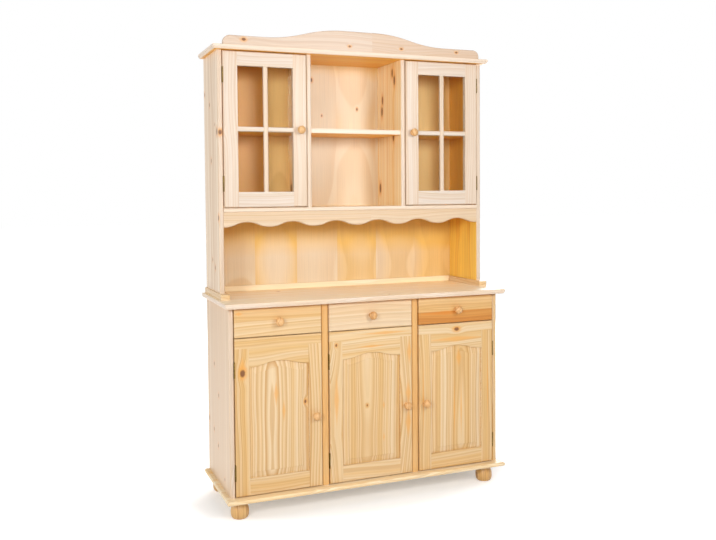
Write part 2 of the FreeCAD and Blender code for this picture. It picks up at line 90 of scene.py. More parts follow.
def seen_rays(tree):
    """1 for the rays that show a surface: from the camera, by a mirror or through glass."""
    ray = add(tree, "LightPath").node.outputs
    seen = add(tree, "Math", [ray["Is Camera Ray"], ray["Is Glossy Ray"]], operation="MAXIMUM")
    return add(tree, "Math", [seen, ray["Is Transmission Ray"]], operation="MAXIMUM")


# How a Mix node mixes colours, with its output, and its inputs: the share and the two colours
COLOURS = dict(output=2, data_type="RGBA")
SHARE, FIRST, SECOND = 0, 6, 7

# Tones of the pine: two of the wood between the rings, then the ring lines
CREAM = ("#DECDBC", "#D9C2A9", "#C69D70")  # stiles of the glazed doors and front edges
MILK = ("#DCCEC1", "#D7C3AD", "#C49F73")  # rails of the glazed doors
TRIM = ("#DEC7AB", "#D9BD9B", "#C6985F")  # valance
CREST = ("#D8C4B2", "#D2B69C", "#BE936A")  # crest board
PALE = ("#E9D6C2", "#E4C9A8", "#CCA274")  # edges of upper shelves, worktop, cornice and bottom board
# Painted shade: deep orange tones for the undersides of the boards, where shade falls
UNDERSIDE_SHADE = ("#FFC248", "#F4AA30", "#CC8824")  # undersides of the same boards
BLUSH = ("#F3DEC4", "#DBBC99", "#C49C6C")  # outer faces of the sides
HONEY = ("#E3C89F", "#DAB173", "#C0883A")  # cupboard doors, left drawer, drawer boxes and runners
IVORY = ("#E4CBA9", "#DCBB8C", "#C29763")  # centre drawer
GOLDEN = ("#E0BD86", "#D4A25C", "#B87C30")  # right drawer
ORANGE = ("#E6C087", "#DCA65F", "#C2853D")  # dividers
AMBER = ("#F6E4C2", "#EFC67C", "#D29E4C")  # shelves, boards and the outer face of the back
WALL = ("#FDEDCC", "#F8D188", "#DAA852")  # partitions and inner faces of the base sides
# Painted shade: saturated golden tones for the inner faces of the upper sides, deepest behind the panes
# where shade falls
INNER_SHADE = ("#FED460", "#E8A63E", "#C88832")  # inner faces of the upper sides
TABLE = ("#FDF0D8", "#FAE3B6", "#E0B474")  # worktop and the rail behind it
VENEER = ("#E6D2B3", "#E8BC5F", "#CC9A4C")  # inner face of the back
TURNED = ("#E4B982", "#D89F5C", "#B07434")  # knobs
BUN = ("#DBB276", "#CF9A50", "#AD7231")  # feet
KNOT_HALO = "#E09A3C"
KNOT_HEART = "#68360F"
FLAME = "#E2A24C"

# A filter laid over the wood: a stave of heartwood on the right drawer, and a band of painted shade on
# the back behind the left door's left panes
HEARTWOOD_AND_SHADE = "#F0CD92"

# Painted shade behind the panes: a deeper, more saturated tone laid over the back where shade falls
# there, and how much of it shows
PANE_SHADE = "#FFD48A"
PANE_SHADE_SHARE = 0.85

# Growth rings are about 2 to 5 mm wide in real pine. They are drawn wider, so that they show.
RING = 10 * MM
KNOB_RING = 6 * MM
FOOT_RING = 8 * MM

# The inner face of the back is veneer peeled from the log, which has a broad soft figure
PEELED_RING = 60 * MM

# How far the pith of the log lies to one side of a board: far off for straight grain, near for arched
STRAIGHT = (50 * MM, 150 * MM)
ARCHED = (-30 * MM, 30 * MM)

# The rings wander in patches across and along the grain, and the pith comes nearer and goes deeper along
# the board. The pattern turns back after the depth of a board.
WANDER_PATCH = (120 * MM, 520 * MM)
WANDER_REACH = 30 * MM
BEND_LENGTH = 420 * MM
LEAST_DEPTH = 2 * MM
BOARD_DEPTH = 24 * MM

# Years differ in width: how quickly that changes from ring to ring, and by how many rings it adds up
WIDTH_STEP = 0.3
WIDTH_REACH = 2.4

# The part of a year in which the wood darkens, the part in which that ends, and the faintest line
LATE_WOOD = (0.1, 0.85)
YEAR_END = (1.0, 0.88)
FAINTEST = 0.1

# Good and lean years follow each other every few rings and move the tone by this much
LEAN_STEP = 0.4
LEAN_TINT = (-0.25, 0.6)

# Steps that keep the random values of rows, materials, tones and knots apart
ROW_STEP = 31.7
SEED_STEP = 7.31
TONE_STEP = 0.5
KNOT_SEED_STEP = (3.7, 1.9)

# Strewn knots, in millimetres: at most one in each field across and along the grain. Then comes how far
# it strays in its field, and the range of a random value that its radius is divided by.
KNOT_FIELD = (95, 310)
KNOT_RADIUS = 5
KNOT_SCATTER = 0.9
KNOT_SHRINK = (0.8, 2.0)

# A share of the fields has no knot. At this share, above 1, none has one. A knot that is left out is
# moved this many radii away.
CLEAR = 1.1
FAR_AWAY = 50.0

# In knot radii: where the dark heart, the resin round it and the push on the grain begin and are full
HEART_EDGE = (1.5, 0.85)
HALO_EDGE = (2.9, 1.0)
PUSH_EDGE = (5.0, 0.0)
HEART_SHARE = 0.9
HALO_SHARE = 0.7
KNOT_PUSH = 14 * MM

# The outline of a knot is ragged in bits of this size, by this many knot radii
RAGGED_BIT = 9 * MM
RAGGED_REACH = 0.5

# A resin flame begins at its outline, is full at a share of its size, and covers this much of the wood
FLAME_EDGE = (1.0, 0.3)
FLAME_SHARE = 0.7

# Fibres are far finer than a pixel. They are drawn as streaks this wide and long, so that they show.
FIBRE_WIDTH = 3 * MM
FIBRE_LENGTH = 200 * MM
FIBRE_SHADE = (0.94, 1.05)
FIBRE_GLOSS = (0.36, 0.48)

# Softened arrises, the height of the fibres under the lacquer, and that of the rings as a share of it
ARRIS = 1.5 * MM
RELIEF = 0.3 * MM
RING_RELIEF = 0.5

# The parts of a noise's range that are spread out
NARROW = (0.3, 0.7)
MIDDLE = (0.25, 0.75)
WIDE = (0.2, 0.8)


# Pine, part by part

def board_number(tree, breadth, grain, stave, shift, length, length_shift, seed):
    """The column of a board across the grain, and a number that no other board of the material has."""
    column = add(tree, "Math", [breadth, shift], operation="SUBTRACT")
    column = add(tree, "Math", [column, stave], operation="DIVIDE")
    column = add(tree, "Math", [column], operation="FLOOR")
    row = add(tree, "Math", [grain, 1 / length, length_shift / length], operation="MULTIPLY_ADD")
    row = add(tree, "Math", [row], operation="FLOOR")
    board = add(tree, "Math", [row, ROW_STEP, column], operation="MULTIPLY_ADD")
    return column, add(tree, "Math", [board, seed * SEED_STEP], operation="ADD")


def from_spot(tree, flat, across, along, width, length):
    """The place on a board as seen from a spot in millimetres, in half widths and half lengths."""
    scale = (1 / (width * MM), 1 / (length * MM), 0)
    offset = (-across / width, -along / length, 0)
    return add(tree, "VectorMath", [flat, scale, offset], operation="MULTIPLY_ADD")


def knot_distance(tree, place, flat, seed, rare, stretch, knots):
    """How far the nearest knot is, in knot radii: small strewn knots, and those listed."""
    field_across, field_along = KNOT_FIELD
    scale = (1 / (field_across * MM), 1 / (field_along * MM), 0)
    jump = (seed * KNOT_SEED_STEP[0], seed * KNOT_SEED_STEP[1], 0)
    cell = add(tree, "VectorMath", [flat, scale, jump], operation="MULTIPLY_ADD")
    strewn = add(tree, "TexVoronoi", {"Vector": cell, "Scale": 1.0, "Randomness": KNOT_SCATTER},
                 output="Position", voronoi_dimensions="2D").node.outputs
    chance = add(tree, "SeparateColor", [strewn["Color"]]).node.outputs
    gap = add(tree, "VectorMath", [cell, strewn["Position"]], operation="SUBTRACT")
    radii = (field_across / KNOT_RADIUS, field_along / (KNOT_RADIUS * stretch), 0)
    gap = add(tree, "VectorMath", [gap, radii], operation="MULTIPLY")
    near = add(tree, "VectorMath", [gap], output="Value", operation="LENGTH")
    shrink = add(tree, "MapRange", [chance["Green"], 0.0, 1.0, *KNOT_SHRINK])
    near = add(tree, "Math", [near, shrink], operation="MULTIPLY")
    bare = add(tree, "Math", [chance["Red"], rare], operation="LESS_THAN")
    near = add(tree, "Math", [bare, FAR_AWAY, near], operation="MULTIPLY_ADD")
    for across, along, radius in knots:
        one = from_spot(tree, flat, across, along, radius, stretch * radius)
        one = add(tree, "VectorMath", [one], output="Value", operation="LENGTH")
        near = add(tree, "Math", [near, one], operation="MINIMUM")
    ragged = add(tree, "TexNoise", {"Vector": place, "Scale": 1 / RAGGED_BIT, "Detail": 2.0})
    return add(tree, "Math", [ragged, RAGGED_REACH, near], operation="MULTIPLY_ADD")


def pith_distance(tree, breadth, grain, thickness, middle, board, draw, pith, sweep):
    """How far the pith of the log is, which lies beside and behind the middle of the board."""
    side = add(tree, "Math", [breadth, middle], operation="SUBTRACT")
    offset = add(tree, "MapRange", [draw, 0.0, 1.0, *pith])
    side = add(tree, "Math", [side, offset], operation="ADD")
    bend = add(tree, "Math", [grain, 1 / BEND_LENGTH, board], operation="MULTIPLY_ADD")
    bend = add(tree, "TexNoise", {"W": bend, "Scale": 1.0, "Detail": 0.0}, noise_dimensions="1D")
    bend = add(tree, "MapRange", [bend, *WIDE, LEAST_DEPTH, sweep])
    depth = add(tree, "Math", [thickness, BOARD_DEPTH], operation="PINGPONG")
    depth = add(tree, "Math", [depth, bend], operation="ADD")
    away = add(tree, "CombineXYZ", [side, depth, 0.0])
    return add(tree, "VectorMath", [away], output="Value", operation="LENGTH")


def ring_count(tree, flat, radius, board, push, ring):
    """Years counted from the pith: the rings wander, bend round knots and differ in width."""
    patch = (1 / WANDER_PATCH[0], 1 / WANDER_PATCH[1], 0)
    drift = add(tree, "VectorMath", [flat, patch], operation="MULTIPLY")
    drift = add(tree, "VectorMath", [drift, add(tree, "CombineXYZ", {"Z": board})], operation="ADD")
    wander = add(tree, "TexNoise", {"Vector": drift, "Scale": 1.0, "Detail": 1.0, "Roughness": 0.4})
    radius = add(tree, "Math", [wander, WANDER_REACH, radius], operation="MULTIPLY_ADD")
    radius = add(tree, "Math", [push, KNOT_PUSH, radius], operation="MULTIPLY_ADD")
    count = add(tree, "Math", [radius, ring], operation="DIVIDE")
    width = add(tree, "Math", [count, WIDTH_STEP, board], operation="MULTIPLY_ADD")
    width = add(tree, "TexNoise", {"W": width, "Scale": 1.0, "Detail": 1.0}, noise_dimensions="1D")
    return add(tree, "Math", [width, WIDTH_REACH, count], operation="MULTIPLY_ADD")


def ring_line(tree, count, figure):
    """The dark line of late wood: it rises slowly, ends sharply and differs from year to year."""
    phase = add(tree, "Math", [count], operation="FRACT")
    year = add(tree, "Math", [count], operation="FLOOR")
    year = add(tree, "TexWhiteNoise", {"W": year}, noise_dimensions="1D")
    line = add(tree, "MapRange", [phase, *LATE_WOOD], interpolation_type="SMOOTHSTEP")
    fall = add(tree, "MapRange", [phase, *YEAR_END], interpolation_type="SMOOTHSTEP")
    line = add(tree, "Math", [line, fall], operation="MULTIPLY")
    strength = add(tree, "MapRange", [year, 0.0, 1.0, FAINTEST * figure, figure])
    return add(tree, "Math", [line, strength], operation="MULTIPLY")


def pine(name, along, across, tones, stave=97.5 * MM, shift=0.0, length=9.0, length_shift=4.5, ring=RING,
         figure=0.8, spread=0.6, seed=0, pith=STRAIGHT, sweep=45 * MM, rare=0.94, knots=(), stretch=1.4,
         flames=(), fades=(), pane_shade_place=None, heartwood_and_shade=()):
    """Clear-lacquered pine, planed and sanded: edge-glued staves cut from round logs, so their faces
    show arched or straight rings, their ends show the ring arcs, and the lacquer gives an even satin
    gloss.

    along and across are the axes of the grain. A board is a stave wide and a length long, counted from
    shift across the grain and from minus length_shift along it. figure is how strong the rings are,
    spread how far boards differ in tone, pith how far beside the board the pith lies, sweep how deep it
    goes, rare the share of fields without a knot, and stretch how long a knot is for its width. fades
    change the tone along the grain; on the back and the inner sides they are painted shade. The painted
    shade behind the panes lies outside one place across the grain and above one along it. Pieces of
    heartwood are dark staves, and on the back such a piece is a band of painted shade."""
    material, tree, end = blank(name)
    place = add(tree, "TexCoord", output="Object")
    axes = add(tree, "SeparateXYZ", [place]).node.outputs
    through = ({"X", "Y", "Z"} - {along, across}).pop()
    breadth, grain, thickness = axes[across], axes[along], axes[through]
    flat = add(tree, "CombineXYZ", [breadth, grain, 0.0])
    early, warm, late = [linear(tone) for tone in tones]

    # Which board this is, and two random values that belong to it
    column, board = board_number(tree, breadth, grain, stave, shift, length, length_shift, seed)
    pith_draw = add(tree, "TexWhiteNoise", {"W": board}, output="Color", noise_dimensions="1D")
    pith_draw = add(tree, "SeparateColor", [pith_draw])
    tone_draw = add(tree, "Math", [board, TONE_STEP], operation="ADD")
    tone_draw = add(tree, "TexWhiteNoise", {"W": tone_draw}, noise_dimensions="1D")

    # Knots
    near = knot_distance(tree, place, flat, seed, rare, stretch, knots)
    heart = add(tree, "MapRange", [near, *HEART_EDGE, 0.0, HEART_SHARE], interpolation_type="SMOOTHSTEP")
    halo = add(tree, "MapRange", [near, *HALO_EDGE, 0.0, HALO_SHARE], interpolation_type="SMOOTHSTEP")
    push = add(tree, "MapRange", [near, *PUSH_EDGE], interpolation_type="SMOOTHSTEP")

    # Rings, and the broad stripes of good and lean years
    middle = add(tree, "Math", [column, 0.5], operation="ADD")
    middle = add(tree, "Math", [middle, stave, shift], operation="MULTIPLY_ADD")
    radius = pith_distance(tree, breadth, grain, thickness, middle, board, pith_draw, pith, sweep)
    count = ring_count(tree, flat, radius, board, push, ring)
    line = ring_line(tree, count, figure)
    years = add(tree, "Math", [count, LEAN_STEP, board], operation="MULTIPLY_ADD")
    years = add(tree, "TexNoise", {"W": years, "Scale": 1.0, "Detail": 0.0}, noise_dimensions="1D")

    # Fibres, drawn out along the grain
    fineness = (1 / FIBRE_WIDTH, 1 / FIBRE_LENGTH, 1 / FIBRE_WIDTH)
    fibre = add(tree, "CombineXYZ", [breadth, grain, thickness])
    fibre = add(tree, "VectorMath", [fibre, fineness], operation="MULTIPLY")
    fibre = add(tree, "TexNoise", {"Vector": fibre, "Scale": 1.0, "Detail": 3.0, "Roughness": 0.6})

    # The board's own tone, and painted shade where it is given
    tint = add(tree, "MapRange", [years, *MIDDLE, *LEAN_TINT])
    tint = add(tree, "Math", [tone_draw, spread, tint], operation="MULTIPLY_ADD")
    for start, finish, amount in fades:
        fade = add(tree, "MapRange", [grain, start, finish, 0.0, amount])
        tint = add(tree, "Math", [tint, fade], operation="ADD")
    tint = add(tree, "Math", [tint, 0.0], operation="MAXIMUM", use_clamp=True)
    colour = add(tree, "Mix", {SHARE: tint, FIRST: early, SECOND: warm}, **COLOURS)
    # Painted shade: the back behind the panes takes a deeper, more saturated tone
    if pane_shade_place:
        edge, level = pane_shade_place
        beyond = add(tree, "Math", [breadth], operation="ABSOLUTE")
        beyond = add(tree, "Math", [beyond, edge], operation="GREATER_THAN")
        above = add(tree, "Math", [grain, level], operation="GREATER_THAN")
        inside = add(tree, "Math", [beyond, above], operation="MULTIPLY")
        inside = add(tree, "Math", [inside, PANE_SHADE_SHARE], operation="MULTIPLY")
        colour = add(tree, "Mix", {SHARE: inside, FIRST: colour, SECOND: linear(PANE_SHADE)}, **COLOURS)

    # Rings, fibres, resin flames, heartwood, painted shade and knots over it
    colour = add(tree, "Mix", {SHARE: line, FIRST: colour, SECOND: late}, **COLOURS)
    shade = add(tree, "MapRange", [fibre, *NARROW, *FIBRE_SHADE])
    colour = add(tree, "Mix", {SHARE: 1.0, FIRST: colour, SECOND: shade},
                 blend_type="MULTIPLY", **COLOURS)
    for flame in flames:
        one = from_spot(tree, flat, *flame)
        one = add(tree, "VectorMath", [one], operation="ABSOLUTE")
        one = add(tree, "VectorMath", [one, (1, 1, 0)], output="Value", operation="DOT_PRODUCT")
        one = add(tree, "MapRange", [one, *FLAME_EDGE, 0.0, FLAME_SHARE],
                  interpolation_type="SMOOTHSTEP")
        colour = add(tree, "Mix", {SHARE: one, FIRST: colour, SECOND: linear(FLAME)}, **COLOURS)
    # Pieces of heartwood, and on the back a band of painted shade
    for part in heartwood_and_shade:
        one = from_spot(tree, flat, *part)
        one = add(tree, "VectorMath", [one], operation="ABSOLUTE")
        reach = add(tree, "SeparateXYZ", [one]).node.outputs
        one = add(tree, "Math", [reach["X"], reach["Y"]], operation="MAXIMUM")
        one = add(tree, "Math", [one, 1.0], operation="LESS_THAN")
        colour = add(tree, "Mix", {SHARE: one, FIRST: colour, SECOND: linear(HEARTWOOD_AND_SHADE)},
                     blend_type="MULTIPLY", **COLOURS)
    colour = add(tree, "Mix", {SHARE: halo, FIRST: colour, SECOND: linear(KNOT_HALO)}, **COLOURS)
    colour = add(tree, "Mix", {SHARE: heart, FIRST: colour, SECOND: linear(KNOT_HEART)}, **COLOURS)

    # Satin lacquer over slightly raised ring lines, with softened arrises
    gloss = add(tree, "MapRange", [fibre, *NARROW, *FIBRE_GLOSS])
    arris = add(tree, "Bevel", {"Radius": ARRIS}, samples=4)
    relief = add(tree, "Math", [line, RING_RELIEF, fibre], operation="MULTIPLY_ADD")
    normal = add(tree, "Bump", {"Strength": 0.25, "Distance": RELIEF, "Height": relief, "Normal": arris})
    wood = add(tree, "BsdfPrincipled", {"Base Color": colour, "Roughness": gloss, "IOR": 1.5,
                                        "Normal": normal, "Coat Weight": 0.15, "Coat Roughness": 0.3})
    tree.links.new(wood, end.inputs["Surface"])
    return material


# Glass and metal: the size of a patch of haze or wear, where wear shows, and the range of roughness
HAZE_PATCH = 300 * MM
PANE_GLOSS = (0.0, 0.02)
WEAR_PATCH = 6 * MM
WEAR_EDGE = (0.45, 0.75)
BRASS_GLOSS = (0.5, 0.34)


def glass(name):
    """Clear float glass, fire-polished: colourless through its face, with a weak mirror at a low angle.
    Its IOR is below that of glass, because the panes in the photograph mirror next to nothing."""
    material, tree, end = blank(name)
    place = add(tree, "TexCoord", output="Object")
    haze = add(tree, "TexNoise", {"Vector": place, "Scale": 1 / HAZE_PATCH})
    gloss = add(tree, "MapRange", [haze, 0.0, 1.0, *PANE_GLOSS])
    pane = add(tree, "BsdfPrincipled", {"Base Color": linear("#FCFEFA"), "Roughness": gloss, "IOR": 1.1,
                                        "Transmission Weight": 1.0})
    # Straight shadows, so that the shelves behind the panes get their light
    ray = add(tree, "LightPath").node.outputs
    clear = add(tree, "BsdfTransparent", {"Color": linear("#FDFFFC")})
    passed = add(tree, "Math", [ray["Is Shadow Ray"], ray["Is Diffuse Ray"]], operation="MAXIMUM")
    tree.links.new(add(tree, "MixShader", [passed, pane, clear]), end.inputs["Surface"])
    return material


def bronzed_brass(name):
    """Rolled brass darkened in a bath and lacquered: an olive brown metal, rubbed brighter in places."""
    material, tree, end = blank(name)
    place = add(tree, "TexCoord", output="Object")
    wear = add(tree, "TexNoise", {"Vector": place, "Scale": 1 / WEAR_PATCH, "Detail": 4.0})
    worn = add(tree, "MapRange", [wear, *WEAR_EDGE], interpolation_type="SMOOTHSTEP")
    dark, rubbed = linear("#6A5526"), linear("#9C8340")
    colour = add(tree, "Mix", {SHARE: worn, FIRST: dark, SECOND: rubbed}, **COLOURS)
    gloss = add(tree, "MapRange", [worn, 0.0, 1.0, *BRASS_GLOSS])
    metal = add(tree, "BsdfPrincipled", {"Base Color": colour, "Metallic": 0.9, "Roughness": gloss})
    tree.links.new(metal, end.inputs["Surface"])
    return material


# The marks that show plainly, in millimetres: (across, along, radius) of a knot, and
# (across, along, half width, half length) of a resin flame, a piece of heartwood or a band of painted
# shade
SIDE_KNOTS = ((105, 1585, 5), (-22, 1471, 8), (86, 1363, 5), (-32, 1139, 7), (86, 969, 4), (40, 940, 5),
              (86, 551, 5), (12, 438, 5), (193, 305, 6), (105, 281, 5), (31, 232, 5), (196, 1636, 5))
EDGE_KNOTS = ((-566, 1468, 7),)
STILE_KNOTS = ((-525, 558, 10), (-150, 636, 4))
STILE_FLAMES = ((-525, 575, 22, 60), (165, 588, 14, 75), (160, 420, 16, 70), (160, 300, 18, 95),
                (-150, 420, 14, 150), (228, 400, 5, 240), (530, 420, 5, 260))
PANEL_KNOTS = ((-277, 427, 5), (-20, 386, 3))
PANEL_FLAMES = ((-395, 470, 12, 70), (-365, 400, 9, 60), (393, 545, 18, 55), (372, 330, 6, 190),
                (404, 330, 6, 190), (52, 380, 6, 25), (52, 250, 6, 30))
CREST_KNOTS = ((1823, -475, 6), (1821, -39, 4), (1823, 190, 4), (1823, 447, 4))
RAIL_KNOTS = ((664, 383, 8),)
RAIL_FLAMES = ((624, 385, 15, 190), (672, 60, 9, 160), (622, 0, 8, 90), (668, 383, 11, 30))
DRAWER_FLAMES = ((783, -537, 10, 24), (735, 330, 12, 170))
DRAWER_HEARTWOOD = ((714, 382, 28, 180),)
BAY_KNOTS = ((-112, 1717, 5), (-66, 1566, 3), (98, 1598, 4))
# Painted shade: a darker band on the back behind the left door's left panes
BACK_SHADE_BAND = ((-390, 1480, 70, 310),)
PARTITION_KNOTS = ((46, 1740, 7), (25, 1707, 8), (150, 1634, 7), (156, 1586, 8), (36, 1468, 7),
                   (178, 1251, 8))

# Where the tone changes along the grain, in metres: start, finish and amount. The base sides are warmer
# than the upper ones. The back and the inner sides carry painted shade: the back turns golden under the
# boards, where shade falls, and the inner sides turn golden in the shade behind the panes and paler in
# the niche.
SIDE_FADES = ((0.84, 0.8, 0.9),)
BACK_SHADE_FADES = ((0.96, 1.08, 1.0), (1.12, 1.2, -1.4), (1.71, 1.78, 0.8))
INNER_SHADE_FADES = ((1.1, 1.0, -0.5), (1.1, 1.2, 0.9))

# The back lies behind the panes, where it takes painted shade, outside this place across and above this
# height
BEHIND_PANES = (200 * MM, 1.17)

# Boards cut alike. The middles of the dividers lie this far apart, and each bay has boards of its own.
BAY = 388 * MM
RAIL_CUT = dict(length=BAY, length_shift=BAY / 2, shift=40 * MM, rare=CLEAR)
DRAWER_CUT = dict(RAIL_CUT, stave=65 * MM, seed=9)
TRIM_CUT = dict(stave=100 * MM, length=0.9, length_shift=0.84, seed=7, figure=0.4, spread=0.9,
                rare=CLEAR)
BOARD_CUT = dict(stave=106 * MM, length=1.6, length_shift=0.8)

# One material for each way the boards lie
side_pine = pine("side_pine", "Z", "Y", BLUSH, stave=96 * MM, shift=20 * MM, length=0.95,
                 length_shift=0.1, figure=0.4, spread=0.7, seed=1, knots=SIDE_KNOTS, stretch=1.7,
                 fades=SIDE_FADES)
stile_pine = pine("stile_pine", "Z", "X", HONEY, seed=2, rare=CLEAR, knots=STILE_KNOTS,
                  flames=STILE_FLAMES)
panel_pine = pine("panel_pine", "Z", "X", HONEY, stave=BAY, shift=BAY / 2, seed=3, spread=0.4,
                  pith=ARCHED, sweep=16 * MM, rare=CLEAR, knots=PANEL_KNOTS, flames=PANEL_FLAMES)
rail_pine = pine("rail_pine", "X", "Z", HONEY, stave=130 * MM, seed=4, figure=0.5, knots=RAIL_KNOTS,
                 flames=RAIL_FLAMES, **RAIL_CUT)
drawer_pine = pine("drawer_pine", "X", "Z", HONEY, figure=0.5, flames=DRAWER_FLAMES, **DRAWER_CUT)
golden_drawer_pine = pine("golden_drawer_pine", "X", "Z", GOLDEN, figure=0.5, flames=DRAWER_FLAMES,
                          heartwood_and_shade=DRAWER_HEARTWOOD, **DRAWER_CUT)
pale_drawer_pine = pine("pale_drawer_pine", "X", "Z", IVORY, figure=0.4, **DRAWER_CUT)
upper_stile_pine = pine("upper_stile_pine", "Z", "X", CREAM, seed=5, figure=0.5, rare=CLEAR,
                        knots=EDGE_KNOTS)
upper_rail_pine = pine("upper_rail_pine", "X", "Z", MILK, stave=130 * MM, shift=110 * MM, length=0.4,
                       length_shift=0.2, seed=6, figure=0.5, rare=CLEAR)
trim_pine = pine("trim_pine", "X", "Z", TRIM, **TRIM_CUT)
crest_pine = pine("crest_pine", "X", "Z", CREST, knots=CREST_KNOTS, **TRIM_CUT)
edge_pine = pine("edge_pine", "X", "Z", PALE, stave=100 * MM, length=1.3, length_shift=0.65, seed=17,
                 figure=0.3, rare=CLEAR)
board_pine = pine("board_pine", "X", "Y", AMBER, seed=8, figure=0.5, **BOARD_CUT)
worktop_pine = pine("worktop_pine", "X", "Y", TABLE, seed=8, figure=0.4, **BOARD_CUT)
# Painted shade on the undersides of the worktop, cornice, bottom board and upper shelves
shaded_underside_pine = pine("shaded_underside_pine", "X", "Y", UNDERSIDE_SHADE, seed=18, figure=0.4, rare=CLEAR, **BOARD_CUT)
# Painted shade on the back: golden under the boards and at the top of the bay, deeper behind the panes,
# and a darker band behind the left door
back_pine = pine("back_pine", "Z", "X", VENEER, stave=185 * MM, length=1.3, length_shift=0.14,
                 ring=PEELED_RING, seed=10, figure=0.26, spread=0.5, pith=ARCHED, sweep=110 * MM,
                 rare=CLEAR, knots=BAY_KNOTS, stretch=1.6, fades=BACK_SHADE_FADES, pane_shade_place=BEHIND_PANES,
                 heartwood_and_shade=BACK_SHADE_BAND)
rear_pine = pine("rear_pine", "Z", "X", AMBER, stave=139 * MM, seed=19, figure=0.35, spread=0.5,
                 sweep=20 * MM, rare=0.97)
wall_pine = pine("wall_pine", "Z", "Y", WALL, stave=104 * MM, seed=11, figure=0.55, rare=0.98,
                 knots=PARTITION_KNOTS, stretch=2.6)
# Painted shade on the inner faces of the upper sides: golden in the niche, deeper orange behind the
# panes
inner_pine = pine("inner_pine", "Z", "Y", INNER_SHADE, stave=104 * MM, seed=16, figure=0.5, rare=0.98,
                  stretch=2.6, fades=INNER_SHADE_FADES)
divider_pine = pine("divider_pine", "Z", "Y", ORANGE, stave=104 * MM, seed=15, figure=0.5, rare=CLEAR)
runner_pine = pine("runner_pine", "Y", "Z", HONEY, stave=140 * MM, seed=12, figure=0.5, rare=CLEAR)
turned_pine = pine("turned_pine", "Y", "X", TURNED, stave=BAY, shift=BAY / 2, seed=13, ring=KNOB_RING,
                   rare=CLEAR)
foot_pine = pine("foot_pine", "Z", "X", BUN, stave=1.2, shift=0.6, seed=14, ring=FOOT_RING, rare=CLEAR)
window_glass = glass("float_glass")
hinge_metal = bronzed_brass("bronzed_brass")


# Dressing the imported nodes

# How close to an outer plane of a board the middle of a face lies to belong to it: on flat faces, on the
# front edges of the sides, and on the front edges of shelves and partitions
FLAT = 0.5 * MM
FRONT = 1 * MM
LIP = 3 * MM

# A door panel reaches this far into its groove, and the top rail crosses the stiles in a band this high
PANEL_LAP = 9 * MM
TOP_BAND = 38 * MM

# The sides of a drawer box lie within this of its ends
DRAWER_SIDE = 20 * MM

# A pane reaches 7 mm under its frame and a glazing bar is 18 mm wide: limits just off these sizes
STILE_LIMIT = 6 * MM
RAIL_LIMIT = 8 * MM
BAR_LIMIT = 9.5 * MM

BAYS = ("left", "centre", "right")
GLAZED = ("left", "right")
DRAWER_PINES = {"left": drawer_pine, "centre": pale_drawer_pine, "right": golden_drawer_pine}


def dress(node, *materials, rule=None):
    """Fills the material slots in order; a rule picks one for each face by its middle."""
    mesh = nodes[node].data
    mesh.materials.clear()
    for material in materials:
        mesh.materials.append(material)
    for face in mesh.polygons:
        face.material_index = rule(face.center) if rule else 0


def dress_side(node, lining, lipping):
    """A side: its outer face, its inner face and its front edge."""
    inner = min(abs(low(node).x), abs(high(node).x)) + FLAT
    front = low(node).y + FRONT
    dress(node, side_pine, lining, lipping,
          rule=lambda middle: 2 if middle.y < front else 1 if abs(middle.x) < inner else 0)


def dress_back(node):
    """A back panel: veneer inside, plain boards outside."""
    rear = high(node).y - FLAT
    dress(node, back_pine, rear_pine, rule=lambda middle: 1 if middle.y > rear else 0)


def dress_board(node, top):
    """A lying board: its top, its edges, and its underside in painted shade."""
    under = low(node).z + FLAT
    over = high(node).z - FLAT
    dress(node, top, edge_pine, shaded_underside_pine,
          rule=lambda middle: 2 if middle.z < under else 1 if middle.z < over else 0)


def dress_partition(node):
    """A partition: its faces and its front edge."""
    lip = low(node).y + LIP
    dress(node, wall_pine, upper_stile_pine, rule=lambda middle: 1 if middle.y < lip else 0)


def dress_upper_shelf(node):
    """An upper shelf: its top, its front edge, and its underside in painted shade."""
    lip = low(node).y + LIP
    under = low(node).z + FLAT
    dress(node, board_pine, edge_pine, shaded_underside_pine,
          rule=lambda middle: 1 if middle.y < lip else 2 if middle.z < under else 0)


def dress_door_frame(node, panel):
    """A door frame: its stiles, and its rails over the width of the panel and along the top."""
    left = low(panel).x + PANEL_LAP
    right = high(panel).x - PANEL_LAP
    band = high(node).z - TOP_BAND
    dress(node, stile_pine, rail_pine,
          rule=lambda middle: 1 if middle.z > band or left < middle.x < right else 0)


def dress_drawer_box(node):
    """A drawer box: its sides, and what lies between them."""
    left = low(node).x + DRAWER_SIDE
    right = high(node).x - DRAWER_SIDE
    dress(node, runner_pine, drawer_pine, rule=lambda middle: 1 if left < middle.x < right else 0)


def dress_glazed_frame(node, pane):
    """A glazed frame: its stiles and upright bar, and its rails and cross bars."""
    pane_low, pane_high = low(pane), high(pane)
    bar = (pane_low.x + pane_high.x) / 2

    def rule(middle):
        between = pane_low.x + STILE_LIMIT < middle.x < pane_high.x - STILE_LIMIT
        rail = not pane_low.z + RAIL_LIMIT < middle.z < pane_high.z - RAIL_LIMIT
        return 1 if between and (rail or abs(middle.x - bar) > BAR_LIMIT) else 0
    dress(node, upper_stile_pine, upper_rail_pine, rule=rule)


